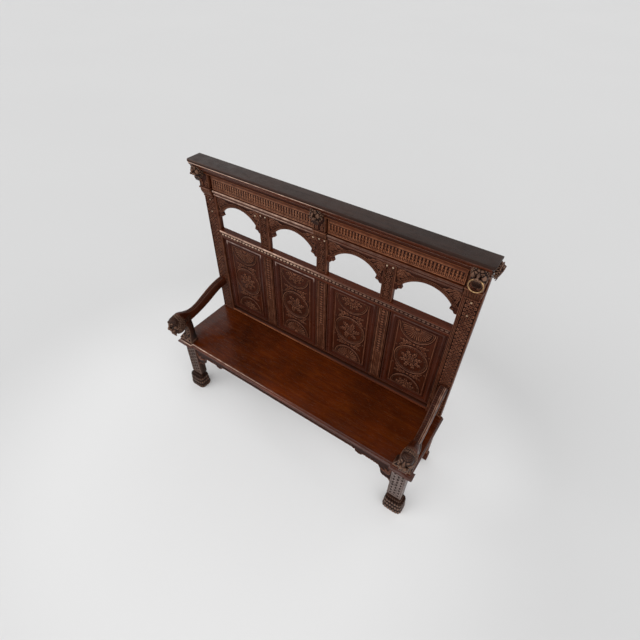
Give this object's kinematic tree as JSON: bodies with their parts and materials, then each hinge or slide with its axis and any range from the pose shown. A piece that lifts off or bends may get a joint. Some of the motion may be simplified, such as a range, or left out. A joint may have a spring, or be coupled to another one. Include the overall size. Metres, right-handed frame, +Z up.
{
  "type": "high-back bench",
  "caption": "High-back hall bench in carved oak: arched and panelled back under a fluted frieze and cornice, plank seat, scroll arms with lion heads, paw feet, and a ring hanging from a mask.",
  "frame": {"origin": "on the floor, in the middle of the whole bench", "axes": "+Z up, the front faces -Y, +X towards the right-hand end as seen from the front"},
  "size_m": [1.768, 0.518, 1.578],
  "materials": {
    "oak_frame": "dark stained oak, waxed to a low sheen, with paler worn arrises",
    "oak_carved": "dark stained carved oak, darker in the hollows and rubbed paler on the high parts",
    "oak_seat": "red-brown stained oak plank, polished by use",
    "oak_top": "dark grey-brown oak board, dusty and nearly matt",
    "brass": "aged brass, worn bright on the outer edge"
  },
  "bodies": {
    "bench": {"stile_left": "oak_frame", "stile_right": "oak_frame", "rear_foot_left": "oak_frame", "rear_foot_right": "oak_frame", "top_rail": "oak_frame", "mid_rail": "oak_frame", "bottom_rail": "oak_frame", "upper_muntin_left": "oak_frame", "upper_muntin_centre": "oak_frame", "upper_muntin_right": "oak_frame", "lower_muntin_left": "oak_frame", "lower_muntin_centre": "oak_frame", "lower_muntin_right": "oak_frame", "panel_1": "oak_carved", "panel_2": "oak_carved", "panel_3": "oak_carved", "panel_4": "oak_carved", "panel_moulding_1": "oak_carved", "panel_moulding_2": "oak_carved", "panel_moulding_3": "oak_carved", "panel_moulding_4": "oak_carved", "arch_board_1": "oak_carved", "arch_board_2": "oak_carved", "arch_board_3": "oak_carved", "arch_board_4": "oak_carved", "sill_moulding": "oak_carved", "frieze_left": "oak_carved", "frieze_right": "oak_carved", "frieze_moulding_left": "oak_carved", "frieze_moulding_right": "oak_carved", "capital_left": "oak_carved", "capital_centre": "oak_carved", "capital_right": "oak_carved", "cornice_bed": "oak_frame", "cornice_crown": "oak_frame", "cornice_top": "oak_top", "lion_mask_left": "oak_carved", "lion_mask_centre": "oak_carved", "lion_mask_right": "oak_carved", "lion_mask_end_left": "oak_carved", "lion_mask_end_right": "oak_carved", "ring_staple": "brass", "seat_board": "oak_seat", "front_apron": "oak_frame", "front_leg_left": "oak_carved", "front_leg_right": "oak_carved", "paw_foot_left": "oak_carved", "paw_foot_right": "oak_carved", "side_rail_left": "oak_frame", "side_rail_right": "oak_frame", "seat_bearer": "oak_frame", "arm_left": "oak_carved", "arm_right": "oak_carved", "arm_support_left": "oak_carved", "arm_support_right": "oak_carved", "peg_left_upper": "oak_frame", "peg_left_lower": "oak_frame", "peg_right_upper": "oak_frame", "peg_right_lower": "oak_frame"},
    "ring": {"mask_ring": "brass"}
  },
  "joints": [
    {"name": "ring_swing", "type": "hinge", "parent": "bench", "child": "ring", "pos_m": [0.808, 0.155, 1.498], "axis": [-1, 0, 0], "range_deg": [-3, 100]}
  ]
}
